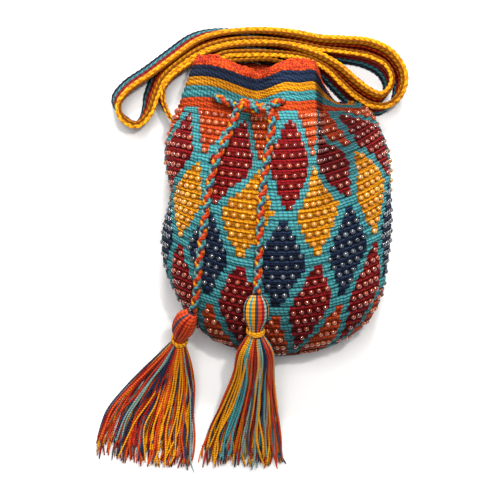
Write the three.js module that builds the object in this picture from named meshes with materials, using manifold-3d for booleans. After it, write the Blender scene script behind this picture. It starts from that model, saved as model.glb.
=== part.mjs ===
// Crocheted drawstring bag with a woven shoulder strap, lying on its back with the front up.
// Millimetres, +Z up. The bag's axis runs along Y: base towards -Y, mouth towards +Y.
import * as THREE from 'three';
import { mergeVertices } from 'three/addons/utils/BufferGeometryUtils.js';
import Module from 'manifold-3d';

// Bag body: the crochet is worked in rounds, counted from the base edge to the rim.
const ROUNDS = 58;
const ROUND_HEIGHT = 3.75;
const BASE_Y = -122;
const BASE_BULGE = 3;
const WALL = 3.5;
const SIDE_STITCHES = 52;
const ROUND_STEPS = 20;

// Outline at a few rounds: left edge, right edge and top of the body, in mm.
const OUTLINE = {
  round: [0, 2, 5, 10, 18, 24, 31, 40, 50, 58],
  left: [-17, -33, -49.5, -62, -74, -75, -69, -73.5, -63, -53],
  right: [42, 60, 76, 88.5, 94.5, 97, 97, 96, 80, 60],
  top: [40, 60, 72, 82, 89, 91, 91, 84, 66, 56],
};
const WIDEST_HEIGHT = 0.45;
const SIDE_FULLNESS = 0.9;
const TOP_FULLNESS = 0.85;

// Drawstring: one twisted cord through two front eyelets, and round the inside of the neck.
const CORD_RADIUS = 2.4;
const EYELET_RADIUS = 4.6;
const EYELET_ROUND = 51;
const EYELETS_X = [-34, 14];
const KNOT = { at: [-7, 60, 72], length: 21, radius: 5.5 };
const TAIL_LEFT = [
  [-18.5, 57, 74.5], [-21.5, 47, 78], [-25.5, 36.5, 81.5], [-31, 25, 84.5], [-35.5, 12.5, 85.5],
  [-39, -2, 85.5], [-41, -17.5, 86.5], [-43.5, -37.5, 86.5], [-46, -55.5, 83.5],
  [-47.5, -72, 78], [-49, -83, 73.5], [-51, -90, 69.3],
];
const TAIL_RIGHT = [
  [5.5, 56.5, 74], [7, 46.5, 78.5], [5.5, 32, 83], [2.5, 17, 86.5], [0.5, 0, 90],
  [-1, -15, 91.5], [-2, -34, 92], [-2.5, -52, 90.5], [-3.5, -68, 90], [-4, -77, 90],
];

// Tassels: centre line from the top of the head, with half width and half height there.
const TASSEL_LEFT = [
  { at: [-52, -91.8, 68], width: 4, height: 4 },
  { at: [-55.5, -96, 65], width: 7.5, height: 6.5 },
  { at: [-59, -104, 57], width: 8, height: 7 },
  { at: [-61, -110, 48], width: 4.8, height: 4.8 },
  { at: [-62.5, -115, 41], width: 4.8, height: 4.8 },
  { at: [-66.5, -129, 27], width: 13.5, height: 9 },
  { at: [-71.5, -144, 17], width: 20.5, height: 10 },
  { at: [-77.5, -162.5, 10.5], width: 26.5, height: 9 },
  { at: [-84, -181, 7], width: 31, height: 6.8 },
  { at: [-88.5, -204, 5], width: 31, height: 4.8 },
  { at: [-90, -213, 4], width: 23, height: 3.8 },
];
const TASSEL_RIGHT = [
  { at: [-4.3, -78.5, 90], width: 4, height: 4 },
  { at: [-4.5, -84, 90], width: 8, height: 7 },
  { at: [-4.6, -94, 88], width: 8.5, height: 7 },
  { at: [-5, -101, 84], width: 5.2, height: 5 },
  { at: [-5, -107, 80], width: 5.2, height: 5 },
  { at: [-5, -119, 70], width: 13, height: 8 },
  { at: [-6, -138, 47], width: 15.5, height: 10 },
  { at: [-9, -162, 26], width: 21.5, height: 11 },
  { at: [-13, -186, 13], width: 28, height: 9.5 },
  { at: [-14.5, -204, 7], width: 29.5, height: 6.8 },
  { at: [-15, -211, 5], width: 23, height: 4.8 },
];
const TIE_RADIUS = 1.1;
const TIE_GAP = 0.4;

// Shoulder strap: a flat woven band, standing on edge along its whole route.
const STRAP_THICKNESS = 3.4;
const STRAP_WIDTH = 22;
const STRAP_STEPS = 190;
const STRAP_ROUTE = [
  [-71, 51, 17], [-75, 63, 15], [-75, 74.5, 13.3], [-68, 86, 11.3], [-55.5, 95.5, 11.3],
  [-42.5, 104.5, 11.3], [-24.5, 110, 11.3], [-3, 112, 11.3], [18, 111.5, 11.3], [31.5, 108, 11.3],
  [45.5, 103, 11.3], [60, 94.5, 11.3], [72, 84, 11.3], [83, 76, 11.3], [92, 73, 11.3],
  [99, 78.5, 11.3], [101, 87.5, 11.3], [96, 97.5, 11.3], [83, 104.5, 11.3], [63.5, 108, 11.3],
  [45.5, 110, 11.3], [29, 113.5, 11.3], [14, 115.5, 11.3], [-3, 116.5, 11.3], [-24.5, 115, 11.3],
  [-45, 109, 11.3], [-62, 98.5, 11.3], [-75.5, 86, 11.3], [-81.5, 72.5, 11.3], [-86.5, 59.5, 11.3],
  [-96, 51, 11.3], [-105.5, 55.5, 11.3], [-108.5, 64.5, 11.3], [-101, 75.5, 11.3], [-84, 87.5, 11.3],
  [-66.5, 100.5, 11.3], [-49, 113, 11.3], [-36, 118, 11.3], [-16.5, 121, 11.3], [5, 121.5, 11.3],
  [26, 119.5, 11.3], [44.5, 116, 11.3], [63.5, 115, 11.3], [83, 113, 11.3], [99, 105, 11.3],
  [108, 90.5, 11.3], [106.5, 77, 11.3], [97.5, 67.5, 11.3], [85, 67, 11.3], [73, 74, 11.3],
  [62, 84, 11.3], [53, 93, 11.3], [44, 99, 11.3], [32.5, 103.5, 11.3], [14, 106, 11.3],
  [-9, 106.5, 11.3], [-29, 105, 11.3], [-34, 102, 11.3], [-29, 99.3, 11.3], [-9, 100, 11.3],
  [10, 100, 11.3], [27.5, 97.5, 11.3], [38.5, 93, 11.3], [47, 84.5, 13.3], [53.5, 76, 16],
];

const COLOURS = {
  crochet: 0xd2451e,
  strap: 0xf0a51e,
  cord: 0x3f8f96,
  knot: 0xd9662a,
  thread: 0xd8622c,
  tie: 0xf2ad2a,
};

/** Smooth step from 0 at a to 1 at b. */
function ease(a, b, x) {
  return THREE.MathUtils.smoothstep(x, a, b);
}

/** Bell curve of height 1 at centre. */
function bell(x, centre, width) {
  return Math.exp(-(((x - centre) / width) ** 2));
}

/** Value of one outline at a round, by a smooth curve through its knots. */
function outline(name, round) {
  const at = OUTLINE.round;
  const values = OUTLINE[name];
  const last = at.length - 1;
  const slope = (i) => (values[i + 1] - values[i]) / (at[i + 1] - at[i]);
  const tangent = (i) => {
    if (i === 0) return slope(0);
    if (i === last) return slope(last - 1);
    const before = at[i] - at[i - 1];
    const after = at[i + 1] - at[i];
    return (slope(i - 1) * after + slope(i) * before) / (before + after);
  };
  let i = 0;
  while (i < last - 1 && round >= at[i + 1]) i += 1;
  const step = at[i + 1] - at[i];
  const t = (round - at[i]) / step;
  const start = (2 * t ** 3 - 3 * t ** 2 + 1) * values[i] + (t ** 3 - 2 * t ** 2 + t) * step * tangent(i);
  const end = (3 * t ** 2 - 2 * t ** 3) * values[i + 1] + (t ** 3 - t ** 2) * step * tangent(i + 1);
  return start + end;
}

/** Place of a round along the bag, with the rim's dip at the front and its drop at the right shoulder. */
function roundY(round, x, front) {
  const across = front ? ease(36, 60, x) : THREE.MathUtils.clamp((x - 14) / 34, 0, 1) ** 1.4;
  const drop = 27 * Math.max(0, (round - 46) / 12) ** 2 * across;
  const dip = -12 * bell(x, -4, 26) - 4.6 * ease(14, 30, x);
  const wave = front ? ease(44, 55, round) * dip : -2 * ease(46, 58, round);
  return BASE_Y + ROUND_HEIGHT * round - drop + wave;
}

/** How deep the front's folds are: the gathered right shoulder and the two grooves under the cords. */
function foldDepth(round, x) {
  const shoulder = 24 * ease(32, 52, round) * ease(38, 46, x);
  const middle = (3 + 9 * ease(20, 56, round)) * bell(x, -3, 9) * ease(0, 8, round);
  const left = 3 * bell(x, -32, 7) * ease(2, 10, round) * (1 - ease(30, 40, round));
  return shoulder + middle + left;
}

/** Point of the body's skin at a round and an angle, moved in by inset from the outside. */
function skinPoint(round, angle, inset) {
  const left = outline('left', round);
  const right = outline('right', round);
  const top = outline('top', round);
  const side = Math.cos(angle);
  const rise = Math.sin(angle);
  const widest = WIDEST_HEIGHT * top;
  const half = (right - left) / 2 - inset;
  const x = (left + right) / 2 + half * Math.sign(side) * Math.abs(side) ** SIDE_FULLNESS;
  if (rise >= 0) {
    const height = rise ** TOP_FULLNESS;
    const z = widest + (top - widest - inset) * height - foldDepth(round, x) * height;
    return new THREE.Vector3(x, roundY(round, x, true), Math.max(z, 2 * WALL + inset));
  }
  const floor = inset + Math.max(0, 12 - 6 * round);
  const fullness = 0.62 + 0.28 * ease(40, 56, round);
  const sunk = widest - (widest + 6) * (-rise) ** fullness;
  return new THREE.Vector3(x, roundY(round, x, false), Math.max(sunk, floor));
}

/** Closed mesh from rings of equal point count, with a centre point at each end. */
function loft(rings, firstCentre, lastCentre) {
  const count = rings[0].length;
  const points = [firstCentre, ...rings.flat(), lastCentre];
  const faces = [];
  const at = (ring, i) => 1 + ring * count + (i % count);
  for (let i = 0; i < count; i += 1) {
    faces.push(0, at(0, i), at(0, i + 1));
    faces.push(points.length - 1, at(rings.length - 1, i + 1), at(rings.length - 1, i));
    for (let ring = 0; ring < rings.length - 1; ring += 1) {
      faces.push(at(ring, i), at(ring + 1, i), at(ring + 1, i + 1));
      faces.push(at(ring, i), at(ring + 1, i + 1), at(ring, i + 1));
    }
  }
  const geometry = new THREE.BufferGeometry().setFromPoints(points);
  geometry.setIndex(faces);
  return geometry;
}

/** One ring of the body's skin. */
function skinRing(round, inset) {
  return Array.from({ length: SIDE_STITCHES }, (_, i) => {
    return skinPoint(round, (2 * Math.PI * i) / SIDE_STITCHES, inset);
  });
}

/** The crocheted pouch: outside from base to rim, over the rim, and the inside back to the base. */
function pouchGeometry() {
  const rings = [];
  for (let step = 0; step <= ROUND_STEPS; step += 1) {
    rings.push(skinRing(ROUNDS * (step / ROUND_STEPS) ** 1.25, 0));
  }
  for (let step = ROUND_STEPS; step >= 1; step -= 1) {
    rings.push(skinRing(Math.max(2.2, ROUNDS * (step / ROUND_STEPS) ** 1.25), WALL));
  }
  const centre = (round, y) => {
    const x = (outline('left', round) + outline('right', round)) / 2;
    return new THREE.Vector3(x, y, outline('top', round) * 0.55);
  };
  return loft(rings, centre(0, BASE_Y - BASE_BULGE), centre(2, BASE_Y + WALL));
}

const wasm = await Module();
wasm.setup();

/** Turns a closed geometry into a solid that can be cut. */
function toSolid(geometry) {
  const bare = geometry.clone();
  bare.deleteAttribute('normal');
  bare.deleteAttribute('uv');
  const merged = mergeVertices(bare, 1e-4);
  const vertProperties = new Float32Array(merged.attributes.position.array);
  const triVerts = new Uint32Array(merged.index.array);
  return new wasm.Manifold(new wasm.Mesh({ numProp: 3, vertProperties, triVerts }));
}

/** Turns a solid back into a geometry. */
function toGeometry(solid) {
  const { vertProperties, triVerts } = solid.getMesh();
  const geometry = new THREE.BufferGeometry();
  geometry.setAttribute('position', new THREE.BufferAttribute(vertProperties, 3));
  geometry.setIndex(new THREE.BufferAttribute(triVerts, 1));
  return geometry;
}

/** Point on the body's front at a round and a place across it, moved in by inset. */
function frontPoint(round, x, inset) {
  const left = outline('left', round);
  const right = outline('right', round);
  const across = THREE.MathUtils.clamp((x - (left + right) / 2) / ((right - left) / 2 - inset), -1, 1);
  const side = Math.sign(across) * Math.abs(across) ** (1 / SIDE_FULLNESS);
  return skinPoint(round, Math.acos(side), inset);
}

/** The pouch with its two front eyelets cut through the wall. */
function bagGeometry() {
  let solid = toSolid(pouchGeometry());
  for (const x of EYELETS_X) {
    const hole = new THREE.CylinderGeometry(EYELET_RADIUS, EYELET_RADIUS, 8 * WALL, 16);
    hole.rotateX(Math.PI / 2);
    const centre = frontPoint(EYELET_ROUND, x, WALL / 2);
    hole.translate(centre.x, centre.y, centre.z);
    solid = solid.subtract(toSolid(hole));
  }
  return toGeometry(solid);
}

/** Round cord along a smooth curve through the given points. */
function cordGeometry(points, steps, sides) {
  const section = new THREE.Shape();
  for (let i = 0; i < sides; i += 1) {
    const angle = (2 * Math.PI * i) / sides;
    const point = [CORD_RADIUS * Math.cos(angle), CORD_RADIUS * Math.sin(angle)];
    if (i === 0) section.moveTo(...point);
    else section.lineTo(...point);
  }
  section.closePath();
  const extrudePath = new THREE.CatmullRomCurve3(points, false, 'centripetal');
  return new THREE.ExtrudeGeometry(section, { steps, extrudePath, bevelEnabled: false, curveSegments: 1 });
}

/** Drawstring from the knot through one eyelet, round the inside of the neck and out of the other. */
function neckCordPoints() {
  const clear = WALL + CORD_RADIUS + 2.6;
  const [leftX, rightX] = EYELETS_X;
  const knotEnd = (side) => {
    const [x, y, z] = KNOT.at;
    return new THREE.Vector3(x + side * (KNOT.length / 2 + 1.2), y, z);
  };
  const above = (x) => frontPoint(EYELET_ROUND, x, -CORD_RADIUS - 0.9);
  const below = (x) => frontPoint(EYELET_ROUND, x, clear);
  const inside = [];
  const first = Math.acos(-0.72);
  const last = 2 * Math.PI - 0.9;
  const turns = 18;
  for (let i = 0; i <= turns; i += 1) {
    inside.push(skinPoint(EYELET_ROUND, first + ((last - first) * i) / turns, clear));
  }
  return [knotEnd(-1), above(leftX), below(leftX), ...inside, below(rightX), above(rightX), knotEnd(1)];
}

/** Flat band of the strap, upright along its route. */
function strapGeometry() {
  const band = new THREE.Shape();
  const half = STRAP_THICKNESS / 2;
  band.moveTo(-STRAP_WIDTH / 2, -half);
  band.lineTo(STRAP_WIDTH / 2, -half);
  band.lineTo(STRAP_WIDTH / 2, half);
  band.lineTo(-STRAP_WIDTH / 2, half);
  band.closePath();
  const points = STRAP_ROUTE.map((point) => new THREE.Vector3(...point));
  const extrudePath = new THREE.CatmullRomCurve3(points, false, 'centripetal');
  return new THREE.ExtrudeGeometry(band, { steps: STRAP_STEPS, extrudePath, bevelEnabled: false });
}

/** Folded half knot of the drawstring: a rounded bead shape, closed on its own axis. */
function knotGeometry() {
  const profile = [];
  const steps = 10;
  for (let i = 0; i <= steps; i += 1) {
    const angle = -Math.PI / 2 + (Math.PI * i) / steps;
    const radius = i === 0 || i === steps ? 0 : KNOT.radius * Math.cos(angle) ** 0.7;
    profile.push(new THREE.Vector2(radius, (KNOT.length / 2) * Math.sin(angle)));
  }
  const geometry = new THREE.LatheGeometry(profile, 16);
  geometry.rotateZ(-Math.PI / 2);
  geometry.translate(...KNOT.at);
  return geometry;
}

/** Tassel: an oval section that follows the thread bundle from its head to its cut ends. */
function tasselGeometry(stations) {
  const sides = 20;
  const centres = stations.map((station) => new THREE.Vector3(...station.at));
  const rings = stations.map((station, i) => {
    const before = centres[Math.max(0, i - 1)];
    const after = centres[Math.min(centres.length - 1, i + 1)];
    const along = after.clone().sub(before).normalize();
    const across = new THREE.Vector3(-along.y, along.x, 0).normalize();
    const up = new THREE.Vector3().crossVectors(along, across).normalize();
    return Array.from({ length: sides }, (_, k) => {
      const angle = (-2 * Math.PI * k) / sides;
      const point = centres[i].clone().addScaledVector(across, station.width * Math.cos(angle));
      point.addScaledVector(up, station.height * Math.sin(angle));
      point.z = Math.max(point.z, 0.1);
      return point;
    });
  });
  return loft(rings, centres[0], centres[centres.length - 1]);
}

/** Yarn wound round a tassel's neck, between its fourth and fifth stations. */
function tieGeometry(stations) {
  const upper = new THREE.Vector3(...stations[3].at);
  const lower = new THREE.Vector3(...stations[4].at);
  const reach = stations[3].width + TIE_GAP + TIE_RADIUS;
  const geometry = new THREE.TorusGeometry(reach, TIE_RADIUS, 8, 24);
  const along = lower.clone().sub(upper).normalize();
  const turn = new THREE.Quaternion().setFromUnitVectors(new THREE.Vector3(0, 0, 1), along);
  geometry.applyQuaternion(turn);
  const centre = upper.lerp(lower, 0.5);
  geometry.translate(centre.x, centre.y, centre.z);
  return geometry;
}

/** Named mesh with its own cloth material. */
function piece(name, geometry, color) {
  const material = new THREE.MeshStandardMaterial({ color, roughness: 0.9, metalness: 0 });
  const mesh = new THREE.Mesh(geometry, material);
  mesh.name = name;
  return mesh;
}

const vectors = (points) => points.map((point) => new THREE.Vector3(...point));

const bag = new THREE.Group();
bag.add(piece('bag_body', bagGeometry(), COLOURS.crochet));
bag.add(piece('shoulder_strap', strapGeometry(), COLOURS.strap));
bag.add(piece('drawstring_neck', cordGeometry(neckCordPoints(), 76, 8), COLOURS.cord));
bag.add(piece('drawstring_knot', knotGeometry(), COLOURS.knot));
bag.add(piece('drawstring_tail_left', cordGeometry(vectors(TAIL_LEFT), 32, 8), COLOURS.cord));
bag.add(piece('drawstring_tail_right', cordGeometry(vectors(TAIL_RIGHT), 30, 8), COLOURS.cord));
bag.add(piece('tassel_left', tasselGeometry(TASSEL_LEFT), COLOURS.thread));
bag.add(piece('tassel_right', tasselGeometry(TASSEL_RIGHT), COLOURS.thread));
bag.add(piece('tassel_left_tie', tieGeometry(TASSEL_LEFT), COLOURS.tie));
bag.add(piece('tassel_right_tie', tieGeometry(TASSEL_RIGHT), COLOURS.tie));

export default bag;
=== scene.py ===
"""Crocheted drawstring bag with glass beads, a woven shoulder strap and two tassels.

The bag lies on its back on a pale floor with its front up. Sizes inside the classes are millimetres in
the part's own frame (+Y from the base to the mouth, +Z up), and every mesh is made in metres.
"""

from __future__ import annotations

import logging
import math
from dataclasses import dataclass, field
from enum import Enum

import bpy
import numpy as np
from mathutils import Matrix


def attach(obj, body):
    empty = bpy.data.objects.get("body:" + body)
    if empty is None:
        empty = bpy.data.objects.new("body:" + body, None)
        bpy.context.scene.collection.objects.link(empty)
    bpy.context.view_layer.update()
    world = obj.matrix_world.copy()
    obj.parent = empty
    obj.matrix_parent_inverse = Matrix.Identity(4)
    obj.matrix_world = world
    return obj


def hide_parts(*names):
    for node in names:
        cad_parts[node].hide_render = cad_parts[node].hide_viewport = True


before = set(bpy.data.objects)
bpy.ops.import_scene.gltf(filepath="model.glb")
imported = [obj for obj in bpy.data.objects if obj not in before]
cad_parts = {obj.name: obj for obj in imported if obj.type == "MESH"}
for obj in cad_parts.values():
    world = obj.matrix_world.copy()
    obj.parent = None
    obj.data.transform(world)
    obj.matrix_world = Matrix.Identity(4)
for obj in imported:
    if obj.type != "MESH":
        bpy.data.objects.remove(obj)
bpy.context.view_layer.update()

LOG = logging.getLogger("mochila")
MM = 0.001


# --------------------------------------------------------------------------------------------- maths


def ease(low: float, high: float, x: np.ndarray) -> np.ndarray:
    """Smooth step from 0 at low to 1 at high."""
    t = np.clip((np.asarray(x, float) - low) / (high - low), 0.0, 1.0)
    return t * t * (3.0 - 2.0 * t)


def bell(x: np.ndarray, centre: float, width: float) -> np.ndarray:
    """Bell curve of height 1 at centre."""
    return np.exp(-(((x - centre) / width) ** 2))


def unit(vectors: np.ndarray) -> np.ndarray:
    """Vectors scaled to length 1 along their last axis."""
    length = np.linalg.norm(vectors, axis=-1, keepdims=True)
    return vectors / np.maximum(length, 1e-9)


def smooth_path(points: list[list[float]], spacing: float) -> np.ndarray:
    """Centripetal Catmull-Rom curve through points.

    Args:
        points: The places that the curve passes, in mm.
        spacing: The distance between samples, in mm.

    Returns:
        Evenly spaced points along the curve, from the first point to the last.
    """
    pts = np.asarray(points, float)
    pts = np.vstack([2 * pts[0] - pts[1], pts, 2 * pts[-1] - pts[-2]])
    knots = np.concatenate([[0.0], np.cumsum(np.linalg.norm(np.diff(pts, axis=0), axis=1) ** 0.5)])
    fine = []
    for i in range(1, len(pts) - 2):
        t = np.linspace(knots[i], knots[i + 1], 24, endpoint=False)[:, None]
        k = knots[i - 1:i + 3]
        p = pts[i - 1:i + 3]
        a = [(k[j + 1] - t) / (k[j + 1] - k[j]) * p[j] + (t - k[j]) / (k[j + 1] - k[j]) * p[j + 1]
             for j in range(3)]
        b = [(k[j + 2] - t) / (k[j + 2] - k[j]) * a[j] + (t - k[j]) / (k[j + 2] - k[j]) * a[j + 1]
             for j in range(2)]
        fine.append((k[2] - t) / (k[2] - k[1]) * b[0] + (t - k[1]) / (k[2] - k[1]) * b[1])
    curve = np.vstack([*fine, pts[-2][None, :]])
    return evenly(curve, spacing)


def evenly(curve: np.ndarray, spacing: float) -> np.ndarray:
    """The same open curve, sampled at even steps of about the given spacing."""
    run = np.concatenate([[0.0], np.cumsum(np.linalg.norm(np.diff(curve, axis=0), axis=1))])
    count = max(2, int(round(run[-1] / spacing)) + 1)
    at = np.linspace(0.0, run[-1], count)
    return np.stack([np.interp(at, run, curve[:, k]) for k in range(3)], axis=1)


def along_frames(curve: np.ndarray) -> tuple[np.ndarray, np.ndarray, np.ndarray]:
    """Tangent, side and up directions along a curve that never runs straight up.

    Args:
        curve: Points along the curve.

    Returns:
        Three arrays of unit vectors: forwards, to the side and upwards.
    """
    forward = unit(np.gradient(curve, axis=0))
    up = np.tile([0.0, 0.0, 1.0], (len(curve), 1))
    side = np.cross(forward, up)
    steep = np.linalg.norm(side, axis=1) < 0.25
    side = unit(np.where(steep[:, None], np.array([1.0, 0.0, 0.0]), side))
    for i in range(1, len(side)):
        carried = side[i - 1] - forward[i] * np.dot(side[i - 1], forward[i])
        side[i] = unit(carried)
    return forward, side, unit(np.cross(side, forward))


# ------------------------------------------------------------------------------------------- finishes


@dataclass(frozen=True)
class YarnColour:
    """One dyed yarn: its lit colour and the colour in its shaded grooves, both linear."""

    name: str
    lit: tuple[float, float, float]
    deep: tuple[float, float, float]


class Yarn(Enum):
    """The yarns of the bag."""

    ORANGE = YarnColour("orange", (0.82, 0.095, 0.012), (0.13, 0.008, 0.002))
    CRIMSON = YarnColour("crimson", (0.37, 0.010, 0.014), (0.040, 0.001, 0.001))
    GOLD = YarnColour("gold", (0.98, 0.42, 0.008), (0.20, 0.046, 0.001))
    NAVY = YarnColour("navy", (0.020, 0.038, 0.090), (0.002, 0.004, 0.010))
    TEAL = YarnColour("teal", (0.085, 0.42, 0.45), (0.003, 0.030, 0.038))
    SLATE = YarnColour("slate", (0.070, 0.066, 0.110), (0.010, 0.009, 0.018))
    PALE = YarnColour("pale_green", (0.26, 0.42, 0.37), (0.04, 0.08, 0.07))
    EMBER = YarnColour("ember", (0.58, 0.042, 0.015), (0.11, 0.006, 0.002))


@dataclass(frozen=True)
class Lay:
    """How a yarn's plies lie on a surface, in turns for each unit of its texture coordinates."""

    name: str
    across: float
    along: float
    fibre: float
    depth: float
    roughness: float
    knit: float = 0.0


FIELD_LAY = Lay("field", 0.07, 1.5, 9.0, 0.00075, 0.78, 0.75)
RIM_LAY = Lay("rim", 0.35, 1.5, 9.0, 0.00060, 0.78, 1.0)
BAND_LAY = Lay("band", 1.0, 1.0, 14.0, 0.00055, 0.72)
CORD_LAY = Lay("cord", 1.0, 1.0, 8.0, 0.00024, 0.68)
THREAD_LAY = Lay("thread", 1.0, 1.0, 8.0, 0.00014, 0.55)


@dataclass(frozen=True)
class BeadTint:
    """Dim and bright tones of the glass over one yarn, in linear light."""

    dim: tuple[float, float, float]
    bright: tuple[float, float, float]


BEAD_TINTS = {
    Yarn.ORANGE: BeadTint((0.46, 0.060, 0.010), (0.76, 0.19, 0.045)),
    Yarn.CRIMSON: BeadTint((0.22, 0.014, 0.010), (0.50, 0.085, 0.032)),
    Yarn.GOLD: BeadTint((0.70, 0.24, 0.008), (0.92, 0.47, 0.05)),
    Yarn.NAVY: BeadTint((0.016, 0.024, 0.042), (0.11, 0.13, 0.16)),
}


class PlyGroup:
    """Shared shader group: twisted plies with fine fibres, laid out by texture coordinates."""

    NAME = "twisted_plies"

    @staticmethod
    def wander(tree: bpy.types.NodeTree, split: bpy.types.Node) -> bpy.types.NodeSocket:
        """Slow noise along the texture coordinates that bends the plies."""
        node = tree.nodes.new("ShaderNodeTexNoise")
        node.inputs["Scale"].default_value = 0.9
        node.inputs["Detail"].default_value = 1.0
        tree.links.new(split.inputs[0].links[0].from_socket, node.inputs["Vector"])
        return node.outputs[0]

    @staticmethod
    def painted(tree: bpy.types.NodeTree, name: str) -> bpy.types.NodeSocket:
        """Value of a mesh's own point attribute, 0 where the mesh has none."""
        node = tree.nodes.new("ShaderNodeAttribute")
        node.attribute_name = name
        return node.outputs["Fac"]

    def build(self) -> bpy.types.NodeTree:
        """Makes the group once and returns it."""
        found = bpy.data.node_groups.get(self.NAME)
        if found:
            return found
        tree = bpy.data.node_groups.new(self.NAME, "ShaderNodeTree")
        face = tree.interface
        for name in ("Lit", "Deep"):
            face.new_socket(name, in_out="INPUT", socket_type="NodeSocketColor")
        for name in ("Across", "Along", "Fibre", "Roughness", "Knit"):
            face.new_socket(name, in_out="INPUT", socket_type="NodeSocketFloat")
        face.new_socket("Colour", in_out="OUTPUT", socket_type="NodeSocketColor")
        face.new_socket("Roughness", in_out="OUTPUT", socket_type="NodeSocketFloat")
        face.new_socket("Height", in_out="OUTPUT", socket_type="NodeSocketFloat")
        new, link = tree.nodes.new, tree.links.new
        given = new("NodeGroupInput")
        result = new("NodeGroupOutput")
        uv = new("ShaderNodeUVMap")
        uv.uv_map = "lay"
        split = new("ShaderNodeSeparateXYZ")
        link(uv.outputs["UV"], split.inputs[0])

        def maths(operation: str, first: bpy.types.NodeSocket | float,
                  second: bpy.types.NodeSocket | float) -> bpy.types.NodeSocket:
            """Adds one maths node and returns its output."""
            node = new("ShaderNodeMath")
            node.operation = operation
            for socket, value in zip(node.inputs, (first, second)):
                if isinstance(value, (int, float)):
                    socket.default_value = value
                else:
                    link(value, socket)
            return node.outputs[0]

        across = maths("MULTIPLY", split.outputs[0], given.outputs["Across"])
        along = maths("MULTIPLY", split.outputs[1], given.outputs["Along"])
        phase = maths("MULTIPLY", maths("ADD", across, along), 2.0 * math.pi)
        sway = maths("MULTIPLY", maths("SUBTRACT", self.wander(tree, split), 0.5), 5.0)
        wave = maths("MULTIPLY_ADD", maths("SINE", maths("ADD", phase, sway), 0.0), 0.5)
        wave.node.inputs[2].default_value = 0.5
        stretch = new("ShaderNodeCombineXYZ")
        link(maths("MULTIPLY", split.outputs[0], 1.0), stretch.inputs[0])
        link(maths("MULTIPLY", split.outputs[1], 3.0), stretch.inputs[1])
        fibre = new("ShaderNodeTexNoise")
        fibre.inputs["Detail"].default_value = 3.0
        link(given.outputs["Fibre"], fibre.inputs["Scale"])
        link(stretch.outputs[0], fibre.inputs["Vector"])
        blotch = new("ShaderNodeTexNoise")
        blotch.inputs["Scale"].default_value = 60.0
        place = new("ShaderNodeTexCoord")
        link(place.outputs["Object"], blotch.inputs["Vector"])
        # Painted shade: the ply and knit mask mixes the shaded and the lit colour, darker in the grooves
        # between plies and stitches; the blotch noise adds a random tone.
        ply = maths("POWER", wave, 0.6)
        fuzz = maths("MULTIPLY_ADD", fibre.outputs[0], 0.55)
        fuzz.node.inputs[2].default_value = 0.45
        fade = maths("MULTIPLY_ADD", blotch.outputs[0], 0.5)
        fade.node.inputs[2].default_value = 0.55
        slant = maths("MULTIPLY_ADD", split.outputs[1], 0.3)
        link(split.outputs[0], slant.node.inputs[2])
        stitch = maths("ABSOLUTE", maths("SINE", maths("MULTIPLY", slant, math.pi), 0.0), 0.0)
        gap = maths("SUBTRACT", 1.0, maths("POWER", stitch, 0.45))
        knit = maths("SUBTRACT", 1.0, maths("MULTIPLY", gap, given.outputs["Knit"]))
        mask = maths("MULTIPLY", maths("MULTIPLY", ply, fuzz), maths("MULTIPLY", fade, knit))
        spread = maths("MULTIPLY_ADD", mask, 1.25)
        spread.node.inputs[2].default_value = 0.20
        spread.node.use_clamp = True
        # Painted shade: the hollow attribute pulls the colour towards the shaded one between stitches.
        spread = maths("MULTIPLY", spread, maths("SUBTRACT", 1.0, self.painted(tree, "hollow")))
        mix = new("ShaderNodeMix")
        mix.data_type = "RGBA"
        link(spread, mix.inputs["Factor"])
        link(given.outputs["Deep"], mix.inputs[6])
        link(given.outputs["Lit"], mix.inputs[7])
        # The shade attribute darkens the colour: painted shade in folds, recesses and lower parts, and a
        # plainly darker tone on some yarns.
        shaded = new("ShaderNodeMix")
        shaded.data_type = "RGBA"
        shaded.blend_type = "MULTIPLY"
        shaded.inputs[7].default_value = (0.30, 0.24, 0.26, 1.0)
        link(self.painted(tree, "shade"), shaded.inputs["Factor"])
        link(mix.outputs[2], shaded.inputs[6])
        link(shaded.outputs[2], result.inputs["Colour"])
        rough = maths("MULTIPLY_ADD", fibre.outputs[0], 0.25)
        link(given.outputs["Roughness"], rough.node.inputs[2])
        link(rough, result.inputs["Roughness"])
        raised = maths("ADD", ply, maths("MULTIPLY", fibre.outputs[0], 0.5))
        link(maths("ADD", raised, maths("MULTIPLY", knit, 1.2)), result.inputs["Height"])
        return tree


def yarn_material(yarn: Yarn, lay: Lay) -> bpy.types.Material:
    """Cotton yarn of one colour and one lay.

    Args:
        yarn: The dyed colour.
        lay: How its plies run over the surface.

    Returns:
        The material, made once and reused.
    """
    name = f"{yarn.value.name}_{lay.name}"
    found = bpy.data.materials.get(name)
    if found:
        return found
    material = bpy.data.materials.new(name)
    material.use_nodes = True
    nodes, links = material.node_tree.nodes, material.node_tree.links
    shader = nodes["Principled BSDF"]
    plies = nodes.new("ShaderNodeGroup")
    plies.node_tree = PlyGroup().build()
    plies.inputs["Lit"].default_value = (*yarn.value.lit, 1.0)
    plies.inputs["Deep"].default_value = (*yarn.value.deep, 1.0)
    plies.inputs["Across"].default_value = lay.across
    plies.inputs["Along"].default_value = lay.along
    plies.inputs["Fibre"].default_value = lay.fibre
    plies.inputs["Roughness"].default_value = lay.roughness - 0.12
    plies.inputs["Knit"].default_value = lay.knit
    bump = nodes.new("ShaderNodeBump")
    bump.inputs["Strength"].default_value = 1.0
    bump.inputs["Distance"].default_value = lay.depth
    links.new(plies.outputs["Height"], bump.inputs["Height"])
    links.new(plies.outputs["Colour"], shader.inputs["Base Color"])
    links.new(plies.outputs["Roughness"], shader.inputs["Roughness"])
    links.new(bump.outputs["Normal"], shader.inputs["Normal"])
    shader.inputs["Specular IOR Level"].default_value = 0.10
    return material


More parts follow.
